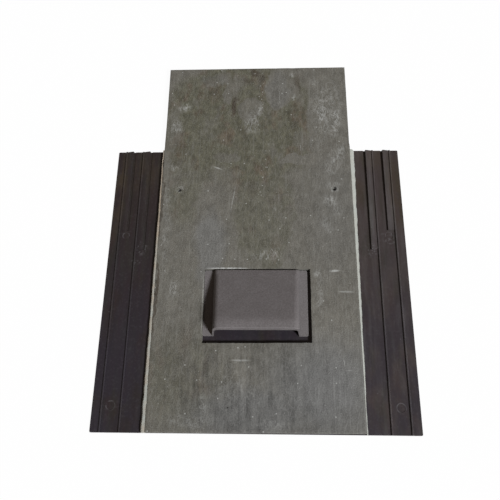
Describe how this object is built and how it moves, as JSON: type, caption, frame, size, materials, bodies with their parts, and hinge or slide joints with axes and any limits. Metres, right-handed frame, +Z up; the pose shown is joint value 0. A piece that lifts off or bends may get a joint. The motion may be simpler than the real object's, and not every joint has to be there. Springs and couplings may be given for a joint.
{
  "type": "slate roof vent tile",
  "caption": "Natural slate bonded on a moulded plastic tray with ribbed side wings, with a wedge-shaped vent cowl standing through an opening in the slate.",
  "frame": {"origin": "under the middle of the slate, on the plane that the tray rests on", "axes": "+X across the tile to the right, +Y from the tail to the head, +Z up from the tray to the slate's face"},
  "size_m": [0.377, 0.5, 0.0328],
  "materials": {
    "slate": "matte",
    "tray_plastic": "satin",
    "cowl_plastic": "matte",
    "sealant": "satin"
  },
  "bodies": {
    "root": {"slate": "slate", "base_tray": "tray_plastic", "vent_cowl": "cowl_plastic", "sealant_bead_left": "sealant", "sealant_bead_right": "sealant"}
  },
  "joints": []
}
